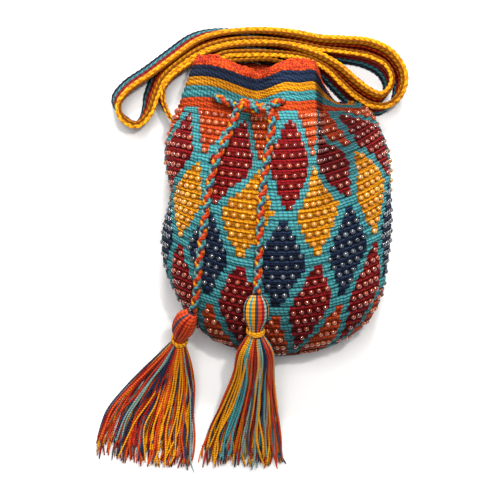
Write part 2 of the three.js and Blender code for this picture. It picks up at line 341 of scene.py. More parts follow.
def bead_material(yarn: Yarn) -> bpy.types.Material:
    """Clear glass that takes up the colour of the yarn behind it.

    Args:
        yarn: The yarn that the bead sits on.

    Returns:
        The material, made once and reused.
    """
    name = f"bead_glass_{yarn.value.name}"
    found = bpy.data.materials.get(name)
    if found:
        return found
    material = bpy.data.materials.new(name)
    material.use_nodes = True
    nodes, links = material.node_tree.nodes, material.node_tree.links
    shader = nodes["Principled BSDF"]
    noise = nodes.new("ShaderNodeTexNoise")
    noise.inputs["Scale"].default_value = 120.0
    place = nodes.new("ShaderNodeTexCoord")
    ramp = nodes.new("ShaderNodeValToRGB")
    ramp.color_ramp.elements[0].position = 0.36
    ramp.color_ramp.elements[0].color = (*BEAD_TINTS[yarn].dim, 1.0)
    ramp.color_ramp.elements[1].position = 0.68
    ramp.color_ramp.elements[1].color = (*BEAD_TINTS[yarn].bright, 1.0)
    # Painted shade: the shade attribute darkens the beads in the folds and towards the base.
    darkening = nodes.new("ShaderNodeMix")
    darkening.data_type = "RGBA"
    darkening.blend_type = "MULTIPLY"
    darkening.inputs[7].default_value = (0.36, 0.30, 0.30, 1.0)
    links.new(place.outputs["Object"], noise.inputs["Vector"])
    links.new(noise.outputs[0], ramp.inputs[0])
    links.new(PlyGroup.painted(material.node_tree, "shade"), darkening.inputs["Factor"])
    links.new(ramp.outputs[0], darkening.inputs[6])
    links.new(darkening.outputs[2], shader.inputs["Base Color"])
    shader.inputs["Transmission Weight"].default_value = 0.35
    shader.inputs["Roughness"].default_value = 0.14
    shader.inputs["IOR"].default_value = 1.6
    shader.inputs["Coat Weight"].default_value = 0.5
    shader.inputs["Coat Roughness"].default_value = 0.06
    return material


# --------------------------------------------------------------------------------------------- meshes


@dataclass
class MeshParts:
    """Points, faces, materials and texture coordinates of one piece, gathered before it is made."""

    name: str
    points: list[np.ndarray] = field(default_factory=list)
    faces: list[np.ndarray] = field(default_factory=list)
    slots: list[np.ndarray] = field(default_factory=list)
    coords: list[np.ndarray] = field(default_factory=list)
    materials: list[bpy.types.Material] = field(default_factory=list)
    hollow: list[np.ndarray] = field(default_factory=list)
    shade: list[np.ndarray] = field(default_factory=list)
    count: int = 0

    def slot_of(self, material: bpy.types.Material) -> int:
        """Index of a material on this piece, added if it is new."""
        if material not in self.materials:
            self.materials.append(material)
        return self.materials.index(material)

    def add(self, points: np.ndarray, faces: np.ndarray, slots: np.ndarray, coords: np.ndarray,
            hollow: np.ndarray | float = 0.0, shade: np.ndarray | float = 0.0) -> None:
        """Adds one patch.

        Args:
            points: Its points, in mm.
            faces: Corners of its quads, as indices into points.
            slots: The material index of each face.
            coords: Texture coordinates of each face's four corners.
            hollow: How deep each point lies between stitches, from 0 to 1; the shader darkens these hollows
                as painted shade.
            shade: How much each point's colour is darkened, from 0 to 1: painted shade in folds, recesses
                and lower parts, and in places a plainly darker tone.
        """
        self.points.append(points)
        self.hollow.append(np.broadcast_to(hollow, len(points)))
        self.shade.append(np.broadcast_to(shade, len(points)))
        self.faces.append(faces + self.count)
        self.slots.append(slots)
        self.coords.append(coords)
        self.count += len(points)

    def make(self) -> bpy.types.Object:
        """Makes the Blender object from what was gathered."""
        points = np.vstack(self.points) * MM
        faces = np.vstack(self.faces).astype(np.int32)
        mesh = bpy.data.meshes.new(self.name)
        mesh.vertices.add(len(points))
        mesh.vertices.foreach_set("co", points.astype(np.float32).ravel())
        mesh.loops.add(faces.size)
        mesh.loops.foreach_set("vertex_index", faces.ravel())
        mesh.polygons.add(len(faces))
        mesh.polygons.foreach_set("loop_start", np.arange(0, faces.size, 4, dtype=np.int32))
        for material in self.materials:
            mesh.materials.append(material)
        mesh.polygons.foreach_set("material_index", np.concatenate(self.slots).astype(np.int32))
        layer = mesh.uv_layers.new(name="lay")
        layer.data.foreach_set("uv", np.vstack(self.coords).astype(np.float32).ravel())
        for name, values in (("hollow", self.hollow), ("shade", self.shade)):
            painted = np.concatenate(values).astype(np.float32)
            if painted.any():
                mesh.attributes.new(name, "FLOAT", "POINT").data.foreach_set("value", painted)
        mesh.update(calc_edges=True)
        mesh.validate()
        mesh.shade_smooth()
        piece = bpy.data.objects.new(self.name, mesh)
        bpy.context.scene.collection.objects.link(piece)
        return piece


def grid_faces(rows: int, columns: int, wrap: bool) -> np.ndarray:
    """Quads of a grid of points, row by row.

    Args:
        rows: Number of rows of points.
        columns: Number of points in a row.
        wrap: Whether each row closes on itself.

    Returns:
        Corner indices, one row of four for each quad.
    """
    across = columns if wrap else columns - 1
    i, j = np.meshgrid(np.arange(rows - 1), np.arange(across), indexing="ij")
    right = (j + 1) % columns
    corners = [i * columns + j, i * columns + right, (i + 1) * columns + right, (i + 1) * columns + j]
    return np.stack(corners, axis=-1).reshape(-1, 4)


def grid_coords(rows: int, columns: int, step_x: float, step_y: float, wrap: bool) -> np.ndarray:
    """Texture coordinates for the corners of grid_faces, in the same order."""
    across = columns if wrap else columns - 1
    i, j = np.meshgrid(np.arange(rows - 1), np.arange(across), indexing="ij")
    corners = [(j, i), (j + 1, i), (j + 1, i + 1), (j, i + 1)]
    pairs = [np.stack([x * step_x, y * step_y], axis=-1) for x, y in corners]
    return np.stack(pairs, axis=-2).reshape(-1, 2)


def add_tube(parts: MeshParts, line: np.ndarray, radius: np.ndarray, sides: int, slot: int,
             twist: float, shade: np.ndarray | float = 0.0) -> None:
    """Adds one round yarn along a line, with a point at each end.

    Args:
        parts: The piece that the yarn belongs to.
        line: Points along its middle, in mm.
        radius: Its radius at each point, in mm.
        sides: Number of sides.
        slot: Index of its material.
        twist: Length of one turn of its plies, in mm.
        shade: How much its colour is darkened along its length, from 0 to 1: painted shade on most pieces, a
            plainly darker tone on others.
    """
    _, side, up = along_frames(line)
    radius = np.broadcast_to(np.asarray(radius, float), (len(line),))
    turn = np.linspace(0.0, 2.0 * np.pi, sides, endpoint=False)
    ring = np.cos(turn)[None, :, None] * side[:, None, :] + np.sin(turn)[None, :, None] * up[:, None, :]
    skin = line[:, None, :] + ring * radius[:, None, None]
    caps = np.vstack([np.repeat(line[:1], sides, axis=0), np.repeat(line[-1:], sides, axis=0)])
    points = np.vstack([caps[:sides], skin.reshape(-1, 3), caps[sides:]])
    rows = len(line) + 2
    faces = grid_faces(rows, sides, True)[:, ::-1]
    step = np.linalg.norm(line[1] - line[0]) / twist
    coords = grid_coords(rows, sides, 1.0 / sides, step, True).reshape(-1, 4, 2)[:, ::-1].reshape(-1, 2)
    darkening = np.broadcast_to(np.asarray(shade, float), (len(line),))
    darkening = np.repeat(np.concatenate([darkening[:1], darkening, darkening[-1:]]), sides)
    parts.add(points, faces, np.full(len(faces), slot), coords, 0.0, darkening)


# ------------------------------------------------------------------------------------------ bag shape


@dataclass(frozen=True)
class BagShape:
    """Outer form of the lying bag, by crochet round and by the angle round its section."""

    round_height: float = 3.75
    base_y: float = -122.0
    base_bulge: float = 3.0
    base_levels: float = 8.0
    knots: tuple[float, ...] = (0, 2, 5, 10, 18, 24, 31, 40, 50, 58)
    left: tuple[float, ...] = (-17, -33, -49.5, -62, -74, -75, -69, -73.5, -63, -53)
    right: tuple[float, ...] = (42, 60, 76, 88.5, 94.5, 97, 97, 96, 80, 60)
    top: tuple[float, ...] = (40, 60, 72, 82, 89, 91, 91, 84, 66, 56)
    widest: float = 0.45
    side_fullness: float = 0.9
    top_fullness: float = 0.85

    def outline(self, values: tuple[float, ...], rounds: np.ndarray) -> np.ndarray:
        """One outline at the given rounds, by a smooth curve through its knots."""
        at = np.array(self.knots, float)
        y = np.array(values, float)
        step = np.diff(at)
        slope = np.diff(y) / step
        tangent = np.concatenate([slope[:1], slope[1:], slope[-1:]])
        tangent[1:-1] = (slope[:-1] * step[1:] + slope[1:] * step[:-1]) / (step[1:] + step[:-1])
        r = np.clip(np.asarray(rounds, float), at[0], at[-1])
        i = np.clip(np.searchsorted(at, r, side="right") - 1, 0, len(step) - 1)
        t = (r - at[i]) / step[i]
        start = (2 * t**3 - 3 * t**2 + 1) * y[i] + (t**3 - 2 * t**2 + t) * step[i] * tangent[i]
        end = (3 * t**2 - 2 * t**3) * y[i + 1] + (t**3 - t**2) * step[i] * tangent[i + 1]
        return start + end

    def round_y(self, rounds: np.ndarray, x: np.ndarray, front: np.ndarray) -> np.ndarray:
        """Place along the bag of a round, with the rim's dip and its drop at the right shoulder."""
        across = np.where(front, ease(36, 60, x), np.clip((x - 14) / 34, 0, 1) ** 1.4)
        drop = 27 * np.maximum(0.0, (rounds - 46) / 12) ** 2 * across
        dip = -12 * bell(x, -4, 26) - 4.6 * ease(14, 30, x)
        wave = np.where(front, ease(44, 55, rounds) * dip, -2 * ease(46, 58, rounds))
        return self.base_y + self.round_height * rounds - drop + wave

    def fold_depth(self, rounds: np.ndarray, x: np.ndarray) -> np.ndarray:
        """Depth of the front's folds: the gathered right shoulder and the grooves under the cords."""
        shoulder = 24 * ease(32, 52, rounds) * ease(38, 46, x)
        middle = (3 + 9 * ease(20, 56, rounds)) * bell(x, -3, 9) * ease(0, 8, rounds)
        left = 3 * bell(x, -32, 7) * ease(2, 10, rounds) * (1 - ease(30, 40, rounds))
        return shoulder + middle + left

    def skin(self, rounds: np.ndarray, angle: np.ndarray, inset: float) -> np.ndarray:
        """Points of the skin.

        Args:
            rounds: Round numbers, of the same shape as angle.
            angle: Angle round the section: 0 at the right, a quarter turn at the front.
            inset: Distance in from the outside, in mm.

        Returns:
            The points in mm, with a last axis of 3.
        """
        left = self.outline(self.left, rounds)
        right = self.outline(self.right, rounds)
        top = self.outline(self.top, rounds)
        side, rise = np.cos(angle), np.sin(angle)
        widest = self.widest * top
        half = (right - left) / 2 - inset
        x = (left + right) / 2 + half * np.sign(side) * np.abs(side) ** self.side_fullness
        front = rise >= 0
        height = np.abs(rise) ** self.top_fullness
        upper = widest + (top - widest - inset) * height - self.fold_depth(rounds, x) * height
        upper = np.maximum(upper, 7 + inset)
        floor = inset + np.maximum(0.0, 12 - 6 * rounds)
        fullness = 0.62 + 0.28 * ease(40, 56, rounds)
        lower = np.maximum(widest - (widest + 6) * np.abs(rise) ** fullness, floor)
        z = np.where(front, upper, lower)
        return np.stack([x, self.round_y(rounds, x, front), z], axis=-1)

    def beyond_base(self, level: np.ndarray, angle: np.ndarray, inset: float) -> np.ndarray:
        """Skin points, with levels below 0 lying on the flat base inside its edge."""
        points = self.skin(np.maximum(level, 0.0), angle, inset)
        edge = self.skin(np.zeros(72), np.linspace(0, 2 * np.pi, 72, endpoint=False), inset)
        middle = edge.mean(axis=0)
        share = np.clip(1.0 + level / self.base_levels, 0.0, 1.0)[..., None]
        inside = middle + (points - middle) * share
        inside[..., 1] -= self.base_bulge * (1 - share[..., 0] ** 2)
        return np.where(level[..., None] < 0, inside, points)

    def front_angle(self, rounds: float, x: float, inset: float) -> float:
        """Angle on the front at which the skin passes a place across it."""
        left = float(self.outline(self.left, np.array(rounds)))
        right = float(self.outline(self.right, np.array(rounds)))
        across = np.clip((x - (left + right) / 2) / ((right - left) / 2 - inset), -1, 1)
        return math.acos(math.copysign(abs(across) ** (1 / self.side_fullness), across))

    def front_point(self, rounds: float, x: float, inset: float) -> np.ndarray:
        """Point on the front at a round and a place across it."""
        angle = np.array([self.front_angle(rounds, x, inset)])
        return self.skin(np.array([rounds], float), angle, inset)[0]


# ------------------------------------------------------------------------------------ crochet rounds


@dataclass(frozen=True)
class CrochetLay:
    """How the crochet rounds run over the bag: low at the middle of the front, high at its sides."""

    shape: BagShape = field(default_factory=BagShape)
    rounds: int = 60
    base_rounds: int = 10
    round_knots: tuple[float, ...] = (0, 1, 11, 21, 31, 41, 51, 52, 54, 56, 58, 60)
    level_knots: tuple[float, ...] = (-0.8, 0.0, 8.4, 17.4, 26.9, 36.9, 46.9, 48.4, 51.0, 53.5, 55.4, 58.0)
    sag: float = 0.00108
    sag_middle: float = 10.0
    back_rise: float = 8.6

    def rise(self, number: float, points: np.ndarray, turn: np.ndarray) -> np.ndarray:
        """How many levels a round stands above its place at the middle of the front."""
        front = np.sin(turn) >= 0
        x = points[:, 0]
        bow = self.sag * (x - self.sag_middle) ** 2
        side = np.where(np.cos(turn) > 0, bow[front].max(initial=0.0, where=(x > 10)[front]),
                        bow[front].max(initial=0.0, where=(x < 10)[front]))
        behind = side + (self.back_rise - side) * np.abs(np.sin(turn)) ** 1.3
        left = np.interp(number, (20, 30, 50, 53), (1.0, 0.63, 0.38, 0.0))
        right = np.interp(number, (40, 50, 54), (1.0, 0.75, 0.0))
        mix = np.clip(0.5 + np.cos(turn) / 0.3, 0.0, 1.0)
        fade = left + (right - left) * mix
        return fade * np.where(front, bow, behind)

    def density(self, number: float, points: np.ndarray, turn: np.ndarray) -> np.ndarray:
        """Stitches for each mm round the bag, relative to its mean: more where it is gathered."""
        x = points[:, 0]
        front = (np.sin(turn) >= 0).astype(float)
        eased = 1 - 0.22 * bell(x, 0, 16) * (1 - ease(30, 42, number))
        gathered = ease(32, 44, number) * 0.6 * bell(x, -8, 9) + ease(28, 42, number) * 1.7 * bell(x, 37, 8)
        sides = 0.25 * np.clip(np.abs(x - 10) / 85, 0, 1) ** 3
        return 1.0 + front * (eased - 1.0 + gathered + sides)

    def curve(self, number: float, turn: np.ndarray, inset: float) -> np.ndarray:
        """One round, by the angle round the section.

        Args:
            number: The round, counted from the base edge; negative on the base.
            turn: Angles round the section.
            inset: Distance in from the outside, in mm.

        Returns:
            One point for each angle.
        """
        level = np.interp(max(number, 0.0), self.round_knots, self.level_knots)
        flat = self.shape.beyond_base(np.full_like(turn, level), turn, inset)
        levels = level + self.rise(max(number, 0.0), flat, turn)
        levels = np.minimum(levels, self.shape.knots[-1])
        if number < 0:
            base = self.shape.base_levels
            levels = -base + (levels + base) * (1.0 + number / self.base_rounds)
        return self.shape.beyond_base(levels, turn, inset)

    def ring(self, number: float, shares: np.ndarray, inset: float) -> np.ndarray:
        """Points of one round at equal counts of stitches.

        Args:
            number: The round.
            shares: Shares of the way round, from the middle of the front towards the right.
            inset: Distance in from the outside, in mm.

        Returns:
            One point for each share.
        """
        turn = np.linspace(np.pi / 2, np.pi / 2 - 2 * np.pi, 1441)
        dense = self.curve(number, turn, inset)
        weight = self.density(number, dense, turn)
        step = np.linalg.norm(np.diff(dense, axis=0), axis=1) * (weight[1:] + weight[:-1]) / 2
        run = np.concatenate([[0.0], np.cumsum(step)])
        at = (shares % 1.0) * run[-1]
        return np.stack([np.interp(at, run, dense[:, k]) for k in range(3)], axis=1)


# ------------------------------------------------------------------------------------ colour pattern


@dataclass(frozen=True)
class DiamondPattern:
    """Tapestry pattern: rows of diamonds between teal outlines, then the rim's stripes."""

    stitches: int = 144
    repeat: int = 16
    field_rounds: int = 52
    rows: tuple[Yarn, ...] = (Yarn.ORANGE, Yarn.CRIMSON, Yarn.NAVY, Yarn.GOLD, Yarn.CRIMSON, Yarn.ORANGE)
    stripes: tuple[Yarn, ...] = (Yarn.ORANGE, Yarn.TEAL, Yarn.GOLD, Yarn.NAVY)
    row_step: float = 5.0
    widest: float = 5.6
    taper: float = 1.12
    reach: float = 4.5
    courses: tuple[float, ...] = (0, 5, 10, 15, 20, 25)
    phases: tuple[float, ...] = (-3.0, -1.2, 0.9, 1.1, 2.6, 3.6)

    def diamond_at(self, height: float, stitch: float) -> tuple[Yarn, float] | None:
        """The diamond at a place, with the distance inside its edge in stitches, or None on teal."""
        for k, yarn in enumerate(self.rows):
            away = abs(height - (0.5 + self.row_step * k))
            if away > self.reach:
                continue
            half = self.widest - self.taper * away
            drift = float(np.interp(height, self.courses, self.phases))
            centre = drift + (self.repeat / 2 if k % 2 else 0.0)
            offset = (stitch - centre + self.repeat / 2) % self.repeat - self.repeat / 2
            if abs(offset) <= half:
                return yarn, half - abs(offset)
        return None

    def yarn_at(self, round_number: int, stitch: float) -> Yarn:
        """The yarn of one stitch, counted up from the base edge and round from the front."""
        if round_number >= self.field_rounds:
            return self.stripes[min(3, (round_number - self.field_rounds) // 2)]
        if round_number < 0:
            return Yarn.TEAL if round_number in (-4, -8) else Yarn.ORANGE
        found = self.diamond_at((round_number + 0.5) / 2, stitch)
        return found[0] if found else Yarn.TEAL


# ----------------------------------------------------------------------------------------- bag body


@dataclass
class CrochetBody:
    """The crocheted pouch: stitches, lining, base, rim edging, eyelets and beads."""

    lay: CrochetLay = field(default_factory=CrochetLay)
    pattern: DiamondPattern = field(default_factory=DiamondPattern)
    per_round: int = 4
    per_stitch: int = 2
    wall: float = 3.0
    skin_inset: float = 1.2
    ridge: float = 1.25
    bead_groove: float = 1.0
    bead_radius: float = 2.1
    stripe_share: float = 0.64
    stripe_lift: float = 1.15
    eyelets_x: tuple[float, float] = (-34.0, 14.0)
    eyelet_level: float = 51.0
    eyelet_radius: float = 3.4

    def rows(self) -> np.ndarray:
        """Round number of each row of points, from the middle of the base to the rim."""
        first = -self.lay.base_rounds * self.per_round + 1
        return np.arange(first, self.lay.rounds * self.per_round + 1) / self.per_round

    @staticmethod
    def grid_normals(grid: np.ndarray) -> np.ndarray:
        """Outward normals of a grid whose rows run round the bag."""
        around = np.roll(grid, -1, axis=1) - np.roll(grid, 1, axis=1)
        upward = np.gradient(grid, axis=0)
        return unit(np.cross(around, upward))

    def colours(self) -> np.ndarray:
        """Yarn of each stitch in each round, as indices into list(Yarn), from the base's middle up."""
        order = list(Yarn)
        numbers = range(-self.lay.base_rounds, self.lay.rounds)
        table = [[order.index(self.pattern.yarn_at(n, s + 0.5)) for s in range(self.pattern.stitches)]
                 for n in numbers]
        return np.array(table)

    def relief(self, rows: np.ndarray, yarns: np.ndarray) -> np.ndarray:
        """Height of the stitches over the smooth skin, in mm, by row and column."""
        number = np.clip(np.floor(rows + 1e-6).astype(int), -self.lay.base_rounds, self.lay.rounds - 1)
        part = rows - np.floor(rows + 1e-6)
        course = (rows / 2) - np.floor(rows / 2 + 1e-6)
        columns = np.arange(self.pattern.stitches * self.per_stitch)
        worked_in = yarns[number + self.lay.base_rounds][:, columns // self.per_stitch]
        teal = worked_in == list(Yarn).index(Yarn.TEAL)
        in_field = ((number < self.pattern.field_rounds) & (number >= 0))[:, None]
        block = self.ridge * np.abs(np.sin(np.pi * course)) ** 0.4
        bead_row = self.ridge * np.abs(np.sin(np.pi * part)) ** 0.8 - self.bead_groove * (number % 2 == 0)
        share = self.stripe_share
        band = np.abs(np.sin(np.pi * np.clip(course / share, 0, 1))) ** 0.8
        chain = 0.9 * np.abs(np.sin(np.pi * np.clip((course - share) / (1 - share), 0, 1)))
        stripe = self.stripe_lift * self.ridge * np.where(course < share, band, chain)
        wobble = 0.10 * np.sin(columns * 2.4)[None, :] * np.sin(number * 1.7)[:, None]
        worked = np.where(teal, block[:, None] + 0.1, bead_row[:, None]) + wobble
        return np.where(in_field, worked, stripe[:, None])

    @staticmethod
    def painted_shade(points: np.ndarray, rows: np.ndarray) -> np.ndarray:
        """Painted shade on the fabric: a little everywhere, more in the recess at the right shoulder, the
        neck and the gathers under the knot, and towards the base and the floor.
        """
        x, y = points[..., 0], points[..., 1]
        number = rows[:, None]
        recess = 0.95 * ease(38.5, 42, x) * ease(28, 42, number) * (1 - 0.55 * ease(56, 88, x))
        neck = 0.6 * bell(x, -26, 22) * ease(46, 54, number)
        gather = 0.72 * bell(x, -8, 11) * ease(38, 50, number) * ease(56, 52, number)
        low = 0.22 * ease(30, -50, y) + 0.58 * ease(-58, -118, y) * (1.0 - 0.4 * ease(-10, 60, x))
        flank = 0.2 * ease(60, 20, points[..., 2])
        return np.clip(0.06 + np.maximum.reduce([recess, neck, gather]) + low + flank, 0.0, 0.92)

    def in_eyelet(self, centres: np.ndarray) -> np.ndarray:
        """Which places lie inside one of the two front eyelets."""
        inside = np.zeros(len(centres), bool)
        for x in self.eyelets_x:
            hole = self.lay.shape.front_point(self.eyelet_level, x, 0.0)
            near = np.hypot(centres[:, 0] - hole[0], centres[:, 1] - hole[1]) < self.eyelet_radius
            inside |= near & (centres[:, 2] > hole[2] - 12)
        return inside

    def make_fabric(self) -> bpy.types.Object:
        """The stitched outside, the lining and the turned rim, as one piece."""
        parts = MeshParts("crochet_body")
        rows = self.rows()
        columns = self.pattern.stitches * self.per_stitch
        shares = np.arange(columns) / columns
        grid = np.array([self.lay.ring(float(r), shares, self.skin_inset) for r in rows])
        yarns = self.colours()
        relief = self.relief(rows, yarns)
        outside = grid + self.grid_normals(grid) * relief[..., None]
        # Painted shade: darker in the hollows between stitches, and in the folds, recesses and towards the
        # base.
        hollow = 0.95 * np.clip(1.0 - (relief + 0.35) / (self.ridge + 0.35), 0.0, 1.0) ** 1.1
        shade = self.painted_shade(outside, rows)
        outside[..., 2] = np.maximum(outside[..., 2], 0.0)
        faces = grid_faces(len(rows), columns, True)
        coords = grid_coords(len(rows), columns, 1 / self.per_stitch, 1 / self.per_round, True)
        lookup = np.array([[parts.slot_of(yarn_material(yarn, lay)) for lay in (FIELD_LAY, RIM_LAY)]
                           for yarn in list(Yarn)[:5]])
        number = np.floor(rows[:-1] + 1e-6).astype(int)
        face_yarn = yarns[number + self.lay.base_rounds][:, np.arange(columns) // self.per_stitch]
        in_rim = np.broadcast_to((number >= self.pattern.field_rounds)[:, None], face_yarn.shape)
        face_slots = lookup[face_yarn, in_rim.astype(int)].ravel()
        keep = ~self.in_eyelet(outside.reshape(-1, 3)[faces].mean(axis=1))
        whole = coords.reshape(-1, 4, 2)
        parts.add(outside.reshape(-1, 3), faces[keep], face_slots[keep], whole[keep].reshape(-1, 2),
                  hollow.ravel(), shade.ravel())
        self.add_lining(parts, yarns, lookup)
        return parts.make()

    def add_lining(self, parts: MeshParts, yarns: np.ndarray, lookup: np.ndarray) -> None:
        """Adds the inside of the fabric and the turned edge of the rim."""
        columns = self.pattern.stitches
        shares = np.arange(columns) / columns
        numbers = np.arange(-self.lay.base_rounds + 1, self.lay.rounds + 1)
        inner = np.array([self.lay.ring(float(n), shares, self.wall) for n in numbers])
        inner[numbers < 0, :, 1] += self.wall
        lift = self.lay.ring(float(self.lay.rounds), shares, 2.0)
        lift[:, 1] += 1.2
        edge = self.lay.ring(float(self.lay.rounds), shares, self.skin_inset)
        strip = np.concatenate([inner, [lift], [edge]])
        faces = grid_faces(len(strip), columns, True)[:, ::-1]
        coords = grid_coords(len(strip), columns, 1.0, 1.0, True).reshape(-1, 4, 2)[:, ::-1]
        worked = np.clip(np.arange(len(strip) - 1) + 1, 0, len(yarns) - 1)
        slots = lookup[yarns[worked], 1].ravel()
        keep = ~self.in_eyelet(strip.reshape(-1, 3)[faces].mean(axis=1))
        strip[..., 2] = np.maximum(strip[..., 2], 0.4)
        # Painted shade: the lining inside the bag is darker throughout.
        parts.add(strip.reshape(-1, 3), faces[keep], slots[keep], coords[keep].reshape(-1, 2), 0.2, 0.55)

    def make_edging(self) -> bpy.types.Object:
        """Orange looped edge that is worked along the rim."""
        parts = MeshParts("rim_edging")
        bright = parts.slot_of(yarn_material(Yarn.ORANGE, CORD_LAY))
        dark = parts.slot_of(yarn_material(Yarn.EMBER, CORD_LAY))
        rng = np.random.default_rng(7)
        top = float(self.lay.rounds)
        loops = 70
        t = np.linspace(0.0, 1.0, 13)
        for strand in range(3):
            inset = (0.9, 2.2, 1.5)[strand]
            for k in range(loops):
                width = (2.9 + 0.9 * rng.random()) / loops
                shares = (k + 0.33 * strand + 0.3 * rng.random()) / loops + width * t
                foot = self.lay.ring(top, shares, inset)
                below = self.lay.ring(top - 2.0, shares, inset)
                upward = unit(foot - below)
                height = (2.4, 4.6, 6.6)[strand] + 1.8 * rng.random()
                swell = 0.8 + 0.35 * bell(foot[:, 0], -34, 20) + 0.55 * bell(foot[:, 0], 30, 9)
                rise = height * swell * np.sin(np.pi * t) ** 0.7 - 0.5
                line = foot + upward * rise[:, None]
                line[:, 2] += np.sin(np.pi * t) * (0.8 - 0.9 * strand)
                line[:, 2] = np.maximum(line[:, 2], 1.0)
                # Painted shade at the feet of the loops and near the middle, where the front of the rim
                # dips, over a random darker tone.
                foot_shade = 0.75 * rng.random() * np.cos(np.pi * t) ** 2
                dimming = foot_shade + 0.1 * rng.random() + 0.25 * bell(line[:, 0], -5, 16)
                slot = dark if rng.random() < 0.35 else bright
                add_tube(parts, line, np.full(len(t), 1.15), 6, slot, 3.0, dimming)
        for lift, inset in ((0.2, 0.8), (1.2, 1.6), (1.6, 3.0)):
            shares = np.linspace(0.0, 1.0, 361)
            foot = self.lay.ring(top, shares, inset)
            upward = unit(foot - self.lay.ring(top - 2.0, shares, inset))
            sway = lift + 0.5 * np.sin(shares * 2 * np.pi * 60 + lift)
            cord = foot + upward * sway[:, None]
            cord[:, 2] = np.maximum(cord[:, 2], 1.2)
            add_tube(parts, cord, np.full(361, 1.1), 6, bright, 4.0, 0.2)
        return parts.make()

    def make_beads(self) -> bpy.types.Object:
        """Glass beads, one on every second stitch of each beaded round."""
        parts = MeshParts("glass_beads")
        ball, ball_faces = self.bead_form()
        rng = np.random.default_rng(11)
        for course in range(self.pattern.field_rounds // 2):
            number = 2 * course + 0.5
            seats = np.arange(self.pattern.stitches // 2) * 2.0 + course % 2
            hits = [self.pattern.diamond_at(number / 2, s) for s in seats]
            kept = [(s, hit[0]) for s, hit in zip(seats, hits) if hit and hit[1] > 0.3]
            if not kept:
                continue
            seats = np.array([s for s, _ in kept])
            slots = [parts.slot_of(bead_material(yarn)) for _, yarn in kept]
            shares = (seats + 0.3 * (rng.random(len(seats)) - 0.5)) / self.pattern.stitches
            here = self.lay.ring(number, shares, self.skin_inset)
            beyond = self.lay.ring(number, shares + 0.5 / self.pattern.stitches, self.skin_inset)
            above = self.lay.ring(number + 0.5, shares, self.skin_inset)
            around = unit(beyond - here)
            outward = unit(np.cross(around, above - here))
            upward = np.cross(outward, around)
            size = self.bead_radius * (0.92 + 0.16 * rng.random(len(seats)))
            middle = here + outward * (0.35 * size)[:, None]
            # Painted shade on each bead, the same as on the fabric under it.
            darkening = self.painted_shade(middle, np.full(1, number))[0]
            for p, a, u, n, r, slot, shade in zip(middle, around, upward, outward, size, slots, darkening):
                if p[2] < 3.0:
                    continue
                points = p + r * (ball[:, :1] * a + 0.95 * ball[:, 1:2] * u + 0.9 * ball[:, 2:] * n)
                coords = np.zeros((len(ball_faces) * 4, 2))
                parts.add(points, ball_faces, np.full(len(ball_faces), slot), coords, 0.0, shade)
        return parts.make()

    @staticmethod
    def bead_form() -> tuple[np.ndarray, np.ndarray]:
        """Unit bead: a round form whose poles lie along its thread hole."""
        turn = np.linspace(0, 2 * np.pi, 10, endpoint=False)
        rise = np.linspace(-1, 1, 7) * np.pi / 2
        rings = [[[math.sin(r), math.cos(r) * math.cos(t), math.cos(r) * math.sin(t)] for t in turn]
                 for r in rise]
        points = np.array(rings).reshape(-1, 3)
        return points, grid_faces(len(rise), len(turn), True)

    def make(self) -> list[bpy.types.Object]:
        """Makes every piece of the body and fixes it to the frame."""
        fabric, edging, beads = self.make_fabric(), self.make_edging(), self.make_beads()
        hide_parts("bag_body")
        for piece, slot in ((fabric, "crochet"), (edging, "crochet"), (beads, "bead")):
            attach(piece, "root")
        return [fabric, edging, beads]


# -------------------------------------------------------------------------------------------- strap


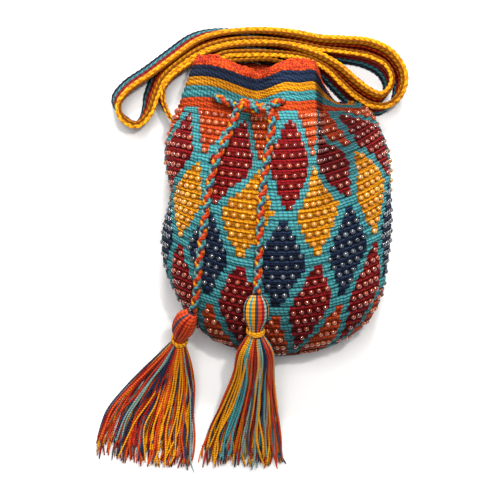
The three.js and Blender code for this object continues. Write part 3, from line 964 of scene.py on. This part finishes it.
@dataclass
class ShoulderStrap:
    """Woven band on edge: five yarn rows across, with a plaited golden edge on top."""

    route: tuple[tuple[float, float, float], ...] = (
        (-66, 50, 15), (-73, 62, 14), (-75, 74.5, 13), (-68, 86, 11.3), (-55.5, 95.5, 11.3),
        (-42.5, 104.5, 11.3), (-24.5, 110, 11.3), (-3, 112, 11.3), (18, 111.5, 11.3), (31.5, 108, 11.3),
        (45.5, 103, 11.3), (60, 94.5, 11.3), (72, 84, 11.3), (83, 76, 11.3), (92, 73, 11.3),
        (99, 78.5, 11.3), (101, 87.5, 11.3), (96, 97.5, 11.3), (83, 104.5, 11.3), (63.5, 108, 11.3),
        (45.5, 110, 11.3), (29, 113.5, 11.3), (14, 115.5, 11.3), (-3, 116.5, 11.3), (-24.5, 115, 11.3),
        (-45, 109, 11.3), (-62, 98.5, 11.3), (-75.5, 86, 11.3), (-81.5, 72.5, 11.3), (-86.5, 59.5, 11.3),
        (-96, 51, 11.3), (-105.5, 55.5, 11.3), (-108.5, 64.5, 11.3), (-101, 75.5, 11.3), (-84, 87.5, 11.3),
        (-66.5, 100.5, 11.3), (-49, 113, 11.3), (-36, 118, 11.3), (-16.5, 121, 11.3), (5, 121.5, 11.3),
        (26, 119.5, 11.3), (44.5, 116, 11.3), (63.5, 115, 11.3), (83, 113, 11.3), (99, 105, 11.3),
        (108, 90.5, 11.3), (106.5, 77, 11.3), (97.5, 67.5, 11.3), (85, 67, 11.3), (73, 74, 11.3),
        (62, 84, 11.3), (53, 93, 11.3), (44, 99, 11.3), (32.5, 103.5, 11.3), (14, 106, 11.3),
        (-9, 106.5, 11.3), (-29, 105, 11.3), (-34, 102, 11.3), (-29, 99.3, 11.3), (-9, 100, 11.3),
        (10, 100, 11.3), (24, 95, 11.3), (32, 88.5, 11.3), (37, 80, 12), (40, 71, 13))
    width: float = 22.0
    thickness: float = 3.0
    rows: tuple[Yarn, ...] = (Yarn.GOLD, Yarn.ORANGE, Yarn.CRIMSON, Yarn.TEAL, Yarn.NAVY)
    row_samples: int = 4
    spacing: float = 1.4
    stitch: float = 4.4
    plait_turn: float = 13.0
    plait_width: float = 0.95
    strand_radius: float = 1.1

    @staticmethod
    def lean(line: np.ndarray) -> np.ndarray:
        """Sideways shift of the band's lower edge: out to the left of the bag, in towards its right."""
        share = ease(-60, 70, line[:, 0])[:, None]
        shift = (1 - share) * np.array([-7.5, 9.0, 0.0]) + share * np.array([-5.5, -7.0, 0.0])
        return shift * ease(78, 96, line[:, 1] + 0.35 * np.abs(line[:, 0]))[:, None]

    def make_band(self, line: np.ndarray) -> bpy.types.Object:
        """The band's two faces, in rows of slanted stitches."""
        parts = MeshParts("strap_band")
        slots = [parts.slot_of(yarn_material(yarn, BAND_LAY)) for yarn in self.rows]
        _, side, _ = along_frames(line)
        flat = unit(side * np.array([1.0, 1.0, 0.0]))
        per_face = len(self.rows) * self.row_samples
        down = np.arange(per_face + 1) / per_face
        ridge = np.abs(np.sin(np.pi * down * len(self.rows))) ** 0.6
        half = self.thickness / 2 - 0.9 + 0.9 * ridge
        half[0] = half[-1] = 0.5
        drop = self.width * (0.5 - down)
        around = np.concatenate([down, down[::-1]])
        half_all = np.concatenate([half, -half[::-1]])
        drop_all = np.concatenate([drop, drop[::-1]])
        run = np.arange(len(line)) * self.spacing
        knit = 1.0 + 0.14 * np.sin(2 * np.pi * (run[:, None] / self.stitch + around[None, :] * 0.5))
        lean = self.lean(line)
        points = (line[:, None, :] + flat[:, None, :] * (half_all[None, :] * knit)[..., None]
                  + np.array([0.0, 0.0, 1.0]) * drop_all[None, :, None]
                  + lean[:, None, :] * around[None, :, None])
        points[..., 2] = np.maximum(points[..., 2], 0.2)
        columns = len(around)
        faces = grid_faces(len(line), columns, True)
        coords = grid_coords(len(line), columns, 1.0 / self.row_samples, self.spacing / self.stitch, True)
        half_rows = np.arange(per_face) // self.row_samples
        row_of = np.concatenate([half_rows, [len(self.rows) - 1], half_rows[::-1], [0]])
        face_slots = np.tile(np.array(slots)[row_of], len(line) - 1)
        # Painted shade: darker in the grooves between the rows, down towards the band's lower edge and in
        # the top row under the plait.
        seam = np.clip(1.0 - 1.3 * np.abs(np.sin(np.pi * around * len(self.rows))), 0.0, 0.9)
        darkening = 0.30 + 0.32 * around + 0.25 * (around < 0.21)
        parts.add(points.reshape(-1, 3), faces, face_slots, coords,
                  np.tile(seam, len(line)), np.tile(darkening, len(line)))
        for end in (0, -1):
            ring = points[end]
            caps = np.stack([ring[:columns // 2], ring[columns // 2:][::-1]])
            cap_faces = grid_faces(2, columns // 2, False)
            cap_coords = grid_coords(2, columns // 2, 0.5, 0.5, False)
            fill = np.array(slots)[row_of[:columns // 2 - 1]]
            parts.add(caps.reshape(-1, 3), cap_faces if end else cap_faces[:, ::-1], fill, cap_coords)
        return parts.make()

    def make_plait(self, line: np.ndarray) -> bpy.types.Object:
        """Three golden strands plaited along the top edge."""
        parts = MeshParts("strap_plait")
        bright = parts.slot_of(yarn_material(Yarn.GOLD, CORD_LAY))
        _, side, up = along_frames(line)
        flat = unit(side * np.array([1.0, 1.0, 0.0]))
        run = np.arange(len(line)) * self.spacing
        for k in range(3):
            phase = 2 * np.pi * (run / self.plait_turn + k / 3)
            strand = (line + flat * (self.plait_width * np.sin(phase))[:, None]
                      + up * (self.width / 2 - 1.6 + 0.62 * np.sin(2 * phase))[:, None])
            # Painted shade: the strands are darker where they dip into the plait and where the strap runs by
            # the bag's right shoulder.
            low = 0.30 * (0.5 - 0.5 * np.sin(2 * phase))
            by_the_bag = 0.35 * ease(40, 55, line[:, 0]) * ease(84, 74, line[:, 1])
            radius = np.full(len(line), self.strand_radius)
            add_tube(parts, strand, radius, 7, bright, 7.5, 0.12 + low + by_the_bag)
        return parts.make()

    def make(self) -> list[bpy.types.Object]:
        """Makes the band and its plait and fixes them to the frame."""
        line = smooth_path([list(p) for p in self.route], self.spacing)
        band, plait = self.make_band(line), self.make_plait(line)
        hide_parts("shoulder_strap")
        for piece in (band, plait):
            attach(piece, "root")
        return [band, plait]


# --------------------------------------------------------------------------------------- drawstring


@dataclass(frozen=True)
class Rope:
    """Round braid of four strands, each of two yarns."""

    braid_turn: float = 15.0
    reach: float = 1.62
    swell: float = 0.5
    yarn_radius: float = 1.1
    yarn_offset: float = 0.88
    dimming: float = 0.5
    strands: tuple[tuple[Yarn, Yarn], ...] = (
        (Yarn.GOLD, Yarn.ORANGE), (Yarn.PALE, Yarn.TEAL),
        (Yarn.EMBER, Yarn.ORANGE), (Yarn.SLATE, Yarn.TEAL))

    def add(self, parts: MeshParts, line: np.ndarray, start: float) -> None:
        """Adds a rope along a line.

        Args:
            parts: The piece that it belongs to.
            line: Evenly spaced points along its middle.
            start: Where in its pattern it starts, in mm.
        """
        forward, side, up = along_frames(line)
        run = start + np.concatenate([[0.0], np.cumsum(np.linalg.norm(np.diff(line, axis=0), axis=1))])
        turn = 2 * np.pi * run / self.braid_turn
        for k, pair in enumerate(self.strands):
            hand = 1 if k < 2 else -1
            angle = hand * turn + np.pi * (k % 2)
            radius = self.reach + hand * self.swell * np.cos(2 * turn)
            outward = side * np.cos(angle)[:, None] + up * np.sin(angle)[:, None]
            strand = line + outward * radius[:, None]
            around = np.cross(forward, outward)
            for j, yarn in enumerate(pair):
                slot = parts.slot_of(yarn_material(yarn, CORD_LAY))
                beside = around * (self.yarn_offset * (2 * j - 1))
                radius = np.full(len(line), self.yarn_radius)
                add_tube(parts, strand + beside, radius, 6, slot, 3.4, self.dimming)


@dataclass
class Drawstring:
    """The twisted cord through the neck, its knot and its two free tails."""

    shape: BagShape = field(default_factory=BagShape)
    rope: Rope = field(default_factory=Rope)
    knot_at: tuple[float, float, float] = (-7.0, 60.0, 72.0)
    knot_length: float = 21.0
    eyelets_x: tuple[float, float] = (-34.0, 14.0)
    eyelet_level: float = 51.0
    clearance: float = 8.5
    tail_left: tuple[tuple[float, float, float], ...] = (
        (-18.5, 57, 74.5), (-21.5, 47, 78), (-25.5, 36.5, 81.5), (-31, 25, 84.5), (-35.5, 12.5, 85.5),
        (-39, -2, 85.5), (-41, -17.5, 86.5), (-43.5, -37.5, 86.5), (-46, -55.5, 83.5),
        (-47.5, -72, 78), (-49, -83, 73.5), (-51, -90, 69.3))
    tail_right: tuple[tuple[float, float, float], ...] = (
        (5.5, 56.5, 74), (7, 46.5, 78.5), (5.5, 32, 83), (2.5, 17, 86.5), (0.5, 0, 90),
        (-1, -15, 91.5), (-2, -34, 92), (-2.5, -52, 90.5), (-3.5, -68, 90), (-4, -77, 90))

    def make_tail(self, name: str, node: str, points: tuple[tuple[float, float, float], ...],
                  start: float) -> bpy.types.Object:
        """One free tail of the cord.

        Args:
            name: The piece's name.
            node: The CAD node that it stands for.
            points: The places that it passes.
            start: Where in the rope's pattern it starts.

        Returns:
            The tail.
        """
        parts = MeshParts(name)
        line = smooth_path([list(p) for p in points], 1.2)
        self.rope.add(parts, line, start)
        piece = parts.make()
        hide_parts(node)
        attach(piece, "root")
        return piece

    def make_neck(self) -> bpy.types.Object:
        """The cord from the knot through one eyelet, round the inside of the neck and out again."""
        parts = MeshParts("drawstring_round_neck")
        x, y, z = self.knot_at
        reach = self.knot_length / 2 + 1.2
        left_x, right_x = self.eyelets_x
        turns = np.linspace(math.acos(-0.72), 2 * math.pi - 0.9, 19)
        inside = self.shape.skin(np.full_like(turns, self.eyelet_level), turns, self.clearance)
        over = [self.shape.front_point(self.eyelet_level, at, -3.3) for at in (left_x, right_x)]
        under = [self.shape.front_point(self.eyelet_level, at, self.clearance) for at in (left_x, right_x)]
        points = [[x - reach, y, z], over[0], under[0], *inside, under[1], over[1], [x + reach, y, z]]
        self.rope.add(parts, smooth_path([list(p) for p in points], 1.3), 0.0)
        return self.fixed(parts.make(), "drawstring_neck")

    def make_knot(self) -> bpy.types.Object:
        """Half knot: the two ends twist once round each other."""
        parts = MeshParts("drawstring_half_knot")
        x, y, z = self.knot_at
        half = self.knot_length / 2
        for k, end in enumerate((self.tail_right[0], self.tail_left[0])):
            way = 1 if k == 0 else -1
            along = np.linspace(-0.75, 0.75, 13)
            angle = np.pi * 1.5 * (along + 0.75) / 1.5 + np.pi * k
            helix = [[x + way * half * a, y + 2.6 * math.cos(t), z + 1.0 + 2.6 * math.sin(t)]
                     for a, t in zip(along, angle)]
            first = [x - way * (half + 1.2), y, z]
            points = [first, *helix, list(end)]
            self.rope.add(parts, smooth_path(points, 1.2), 5.0 * k)
        return self.fixed(parts.make(), "drawstring_knot")

    @staticmethod
    def fixed(piece: bpy.types.Object, node: str) -> bpy.types.Object:
        """Fixes a piece of cord to the frame in place of a CAD node."""
        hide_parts(node)
        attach(piece, "root")
        return piece

    def make(self) -> list[bpy.types.Object]:
        """Makes the whole drawstring."""
        return [self.make_neck(), self.make_knot(),
                self.make_tail("drawstring_left", "drawstring_tail_left", self.tail_left, 2.0),
                self.make_tail("drawstring_right", "drawstring_tail_right", self.tail_right, 6.0)]


# ------------------------------------------------------------------------------------------ tassels


@dataclass(frozen=True)
class Station:
    """One section of a tassel: its middle, half width and half height, in mm."""

    at: tuple[float, float, float]
    width: float
    height: float


@dataclass
class Tassel:
    """Bundle of threads: a rounded head, a tied neck and a loose skirt."""

    name: str
    seed: int
    stations: tuple[Station, ...]
    head_yarns: tuple[Yarn, ...]
    skirt_yarns: tuple[Yarn, ...]
    neck: int = 3
    threads: int = 200
    thread_radius: float = 0.74
    head_strands: int = 44
    head_radius: float = 0.78
    head_swirl: float = 0.0
    head_clump: int = 3

    def sections(self) -> tuple[np.ndarray, np.ndarray, np.ndarray, np.ndarray]:
        """Middle, sideways direction, upwards direction and half sizes at each station."""
        middle = np.array([s.at for s in self.stations], float)
        along = unit(np.gradient(middle, axis=0))
        across = unit(np.stack([-along[:, 1], along[:, 0], np.zeros(len(along))], axis=1))
        up = unit(np.cross(along, across))
        up *= np.where(up[:, 2:] < 0, -1.0, 1.0)
        return middle, across, up, np.array([[s.width, s.height] for s in self.stations])

    def strand(self, first: int, last: int, spot: np.ndarray, spread: float,
               swirl: float = 0.0) -> np.ndarray:
        """Places of one thread at each station.

        Args:
            first: Index of its first station.
            last: Index after its last station.
            spot: Where it lies in the section, from -1 to 1 across and upwards.
            spread: How far it may sit outside the section at its end, as a share.
            swirl: How far it turns round the bundle on its way down, in radians.

        Returns:
            One point for each station.
        """
        middle, across, up, size = self.sections()
        way = np.linspace(0.0, 1.0, last - first)
        grow = 1.0 + spread * way**2
        turned = swirl * way
        wide = (spot[0] * np.cos(turned) - spot[1] * np.sin(turned)) * grow * size[first:last, 0]
        high = (spot[0] * np.sin(turned) + spot[1] * np.cos(turned)) * size[first:last, 1]
        return middle[first:last] + across[first:last] * wide[:, None] + up[first:last] * high[:, None]

    def make_skirt(self) -> bpy.types.Object:
        """Loose threads from the tie to their cut ends."""
        parts = MeshParts(f"{self.name}_skirt")
        rng = np.random.default_rng(self.seed)
        count = len(self.stations)
        for k in range(self.threads):
            turn = 2 * np.pi * (k * 0.381966 % 1.0)
            out = 0.97 * ((k + 0.5) / self.threads) ** 0.36
            spot = np.array([math.cos(turn), math.sin(turn)]) * out
            stray = rng.random() < 0.05
            spread = rng.normal(0.0, 0.04) + (0.10 if stray else 0.0)
            swirl = rng.normal(0.0, 0.25)
            place = self.strand(self.neck + 1, count, spot, spread, swirl)
            aside = float(np.clip(1.04 * spot[0] + rng.normal(0.0, 0.30), -1.0, 1.0))
            goal = np.array([aside, spot[1] * 0.9 + 0.1 * rng.normal()])
            drift = self.strand(self.neck + 1, count, goal, spread) - place
            place = place + drift * np.linspace(0.0, 1.0, len(place))[:, None]
            wander = rng.normal(0.0, 1.1, place.shape) * np.linspace(0.0, 1.0, len(place))[:, None]
            place = place + wander * np.array([1.0, 0.6, 0.5])
            last = place[-1] - place[-2]
            trim = rng.uniform(-2.0, 0.4) + (0.3 if stray else 0.0)
            place[-1] = place[-2] + last * (1.0 + trim * 0.7)
            line = smooth_path(place.tolist(), 4.2)
            waves = np.sin(np.linspace(0, rng.uniform(6, 14), len(line)) + turn)
            line[:, 0] += 0.5 * waves * np.linspace(0, 1, len(line))
            line[:, 2] = np.maximum(line[:, 2], 0.75)
            clump = turn / (2 * np.pi) * 4.6 * len(self.skirt_yarns) + rng.normal(0.0, 0.8)
            yarn = self.skirt_yarns[int(clump) % len(self.skirt_yarns)]
            slot = parts.slot_of(yarn_material(yarn, THREAD_LAY))
            radius = np.full(len(line), self.thread_radius * rng.uniform(0.85, 1.15))
            radius[-1] *= 0.6
            # Painted shade: threads low in the bundle are darker, with a random darker tone on top.
            depth = 0.5 * (0.5 - 0.5 * spot[1]) ** 1.5 + 0.12 * rng.random()
            add_tube(parts, line, radius, 5, slot, 2.1, depth)
        return parts.make()

    def make_head(self) -> bpy.types.Object:
        """Strands folded over the cord's end and gathered at the neck."""
        parts = MeshParts(f"{self.name}_head")
        rng = np.random.default_rng(self.seed + 50)
        last = self.neck + 2
        for ring, share in ((0, 0.96), (1, 0.72)):
            strands = self.head_strands if ring == 0 else self.head_strands // 2
            for k in range(strands):
                turn = 2 * np.pi * (k + 0.3 * rng.random() + 0.5 * ring) / strands
                spot = np.array([math.cos(turn), math.sin(turn)]) * share
                place = self.strand(0, last, spot, 0.0, self.head_swirl * (1 + 0.5 * rng.random()))
                line = smooth_path(place.tolist(), 2.4)
                line[:, 2] = np.maximum(line[:, 2], 0.9)
                yarn = self.head_yarns[(k // self.head_clump + ring) % len(self.head_yarns)]
                slot = parts.slot_of(yarn_material(yarn, THREAD_LAY))
                radius = np.full(len(line), self.head_radius * rng.uniform(0.9, 1.1))
                add_tube(parts, line, radius, 6, slot, 2.8, 0.1 + 0.35 * rng.random())
        self.add_core(parts)
        return parts.make()

    def add_core(self, parts: MeshParts) -> None:
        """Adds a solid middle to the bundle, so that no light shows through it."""
        middle, across, up, size = self.sections()
        turn = np.linspace(0, 2 * np.pi, 12, endpoint=False)
        rows = []
        shares = [0.62 if i <= self.neck + 1 else 0.5 for i in range(len(middle) - 3)]
        for share, i in [(0.05, 0), *zip(shares, range(len(shares))), (0.1, len(shares) - 1)]:
            ring = (middle[i] + np.cos(turn)[:, None] * across[i] * size[i, 0] * share
                    + np.sin(turn)[:, None] * up[i] * size[i, 1] * share)
            ring[:, 2] = np.maximum(ring[:, 2], 0.5)
            rows.append(ring)
        # Painted shade: the dark slate core stands in for the shade inside the bundle.
        slot = parts.slot_of(yarn_material(Yarn.SLATE, THREAD_LAY))
        faces = grid_faces(len(rows), 12, True)
        coords = grid_coords(len(rows), 12, 1.0, 2.0, True)
        parts.add(np.vstack(rows), faces, np.full(len(faces), slot), coords)

    def make_tie(self) -> bpy.types.Object:
        """Golden yarn wound four times round the neck."""
        parts = MeshParts(f"{self.name}_binding")
        slot = parts.slot_of(yarn_material(Yarn.GOLD, CORD_LAY))
        middle, across, up, size = self.sections()
        i = self.neck
        centre = (middle[i] + middle[i + 1]) / 2
        along = unit(middle[i + 1] - middle[i])
        turn = np.linspace(0.0, 2 * np.pi * 3.3, 84)
        slide = np.linspace(-1.5, 1.5, len(turn))
        reach = size[i] + 1.0
        line = (centre + along * slide[:, None] + across[i] * (np.cos(turn) * reach[0])[:, None]
                + up[i] * (np.sin(turn) * reach[1])[:, None])
        add_tube(parts, line, np.full(len(line), 0.78), 6, slot, 3.0)
        return parts.make()

    def make(self) -> list[bpy.types.Object]:
        """Makes the tassel and fixes it to the frame."""
        head, skirt, tie = self.make_head(), self.make_skirt(), self.make_tie()
        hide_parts(self.name)
        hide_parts(f"{self.name}_tie")
        for piece, slot in ((head, "tassel_thread"), (skirt, "tassel_thread"), (tie, "tie_yarn")):
            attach(piece, "root")
        return [head, skirt, tie]


LEFT_TASSEL = Tassel(
    "tassel_left", 3,
    (Station((-52, -91.8, 68), 4, 4), Station((-55.5, -96, 65), 7.5, 6.5), Station((-59, -104, 57), 8, 7),
     Station((-61, -110, 48), 4.8, 4.8), Station((-62.5, -115, 41), 4.8, 4.8),
     Station((-66.5, -129, 27), 13.5, 9), Station((-71.5, -144, 17), 22, 10),
     Station((-78.8, -162.5, 10.5), 29, 9), Station((-86.5, -181, 7), 35.5, 6.8),
     Station((-91, -200, 5), 37.5, 4.8), Station((-92.5, -210, 4), 36, 3.8)),
    (Yarn.ORANGE, Yarn.EMBER, Yarn.ORANGE, Yarn.ORANGE, Yarn.CRIMSON, Yarn.ORANGE, Yarn.SLATE),
    (Yarn.GOLD, Yarn.ORANGE, Yarn.SLATE, Yarn.CRIMSON, Yarn.GOLD, Yarn.NAVY, Yarn.PALE, Yarn.ORANGE,
     Yarn.EMBER, Yarn.SLATE, Yarn.GOLD, Yarn.ORANGE, Yarn.CRIMSON), head_swirl=0.9, head_clump=2)

RIGHT_TASSEL = Tassel(
    "tassel_right", 8,
    (Station((-4.3, -78.5, 90), 4, 4), Station((-4.5, -84, 90), 8, 7), Station((-4.6, -94, 88), 8.5, 7),
     Station((-5, -101, 84), 5.2, 5), Station((-5, -107, 80), 5.2, 5), Station((-5, -119, 70), 13, 8),
     Station((-6, -138, 47), 15.5, 10), Station((-9, -162, 26), 21.5, 11), Station((-13, -186, 13), 28, 9.5),
     Station((-14.5, -202, 7), 30.5, 6.8), Station((-15, -212, 5), 31, 4.8)),
    (Yarn.GOLD, Yarn.NAVY, Yarn.PALE, Yarn.CRIMSON, Yarn.ORANGE, Yarn.SLATE, Yarn.GOLD, Yarn.TEAL),
    (Yarn.GOLD, Yarn.CRIMSON, Yarn.SLATE, Yarn.ORANGE, Yarn.PALE, Yarn.GOLD, Yarn.EMBER, Yarn.TEAL,
     Yarn.GOLD, Yarn.NAVY, Yarn.PALE, Yarn.CRIMSON, Yarn.GOLD), head_clump=2)


# --------------------------------------------------------------------------------------------- stage


@dataclass(frozen=True)
class Stage:
    """Pale floor, soft lights and the camera above the bag."""

    camera_height: float = 1200.0
    view_width: float = 389.6
    aim: tuple[float, float] = (-9.0, -45.5)

    def make_floor(self) -> None:
        """Plain pale floor under the bag."""
        mesh = bpy.data.meshes.new("floor")
        half = 3.0
        mesh.from_pydata([(-half, -half, 0), (half, -half, 0), (half, half, 0), (-half, half, 0)], [],
                         [(0, 1, 2, 3)])
        material = bpy.data.materials.new("floor_white")
        material.use_nodes = True
        shader = material.node_tree.nodes["Principled BSDF"]
        shader.inputs["Base Color"].default_value = (0.93, 0.93, 0.93, 1.0)
        shader.inputs["Roughness"].default_value = 0.9
        mesh.materials.append(material)
        floor = bpy.data.objects.new("floor", mesh)
        bpy.context.scene.collection.objects.link(floor)

    @staticmethod
    def make_light(name: str, place: tuple[float, float, float], size: float, watts: float,
                   tint: tuple[float, float, float]) -> None:
        """One square light that faces the bag, placed in metres."""
        data = bpy.data.lights.new(name, "AREA")
        data.size = size
        data.energy = watts
        data.color = tint
        light = bpy.data.objects.new(name, data)
        light.location = place
        aim = np.array([0.0, -0.03, 0.03]) - np.array(place)
        flat = math.hypot(aim[0], aim[1])
        light.rotation_euler = (math.atan2(flat, -aim[2]), 0.0, math.atan2(aim[1], aim[0]) - math.pi / 2)
        bpy.context.scene.collection.objects.link(light)

    def make_lights(self) -> None:
        """Key light beyond the mouth, a soft fill overhead, small glints and an even sky."""
        self.make_light("key", (0.10, 1.15, 1.05), 0.45, 33.0, (1.0, 0.98, 0.95))
        self.make_light("overhead", (-0.15, 0.35, 1.9), 0.8, 20.0, (1.0, 1.0, 1.0))
        self.make_light("glint", (0.20, 0.22, 1.2), 0.07, 5.5, (1.0, 0.97, 0.92))
        world = bpy.data.worlds.new("sky")
        world.use_nodes = True
        world.node_tree.nodes["Background"].inputs["Color"].default_value = (1.0, 1.0, 1.0, 1.0)
        world.node_tree.nodes["Background"].inputs["Strength"].default_value = 0.38
        bpy.context.scene.world = world

    def make_camera(self) -> None:
        """Camera straight above the bag, with the mouth at the top of the picture."""
        bpy.context.scene.view_settings.view_transform = "Standard"
        data = bpy.data.cameras.new("camera")
        data.sensor_width = 36.0
        data.lens = 36.0 * self.camera_height / self.view_width
        camera = bpy.data.objects.new("camera", data)
        camera.location = (self.aim[0] * MM, self.aim[1] * MM, self.camera_height * MM)
        bpy.context.scene.collection.objects.link(camera)
        bpy.context.scene.camera = camera

    def make(self) -> None:
        """Makes the camera, the floor and the lights."""
        self.make_camera()
        self.make_floor()
        self.make_lights()


def main() -> None:
    """Builds the bag piece by piece."""
    logging.basicConfig(level=logging.INFO, format="%(name)s: %(message)s")
    Stage().make()
    makers = (CrochetBody(), ShoulderStrap(), Drawstring(), LEFT_TASSEL, RIGHT_TASSEL)
    for piece in (piece for maker in makers for piece in maker.make()):
        LOG.info("%s: %d faces", piece.name, len(piece.data.polygons))


if __name__ == "__main__":
    main()
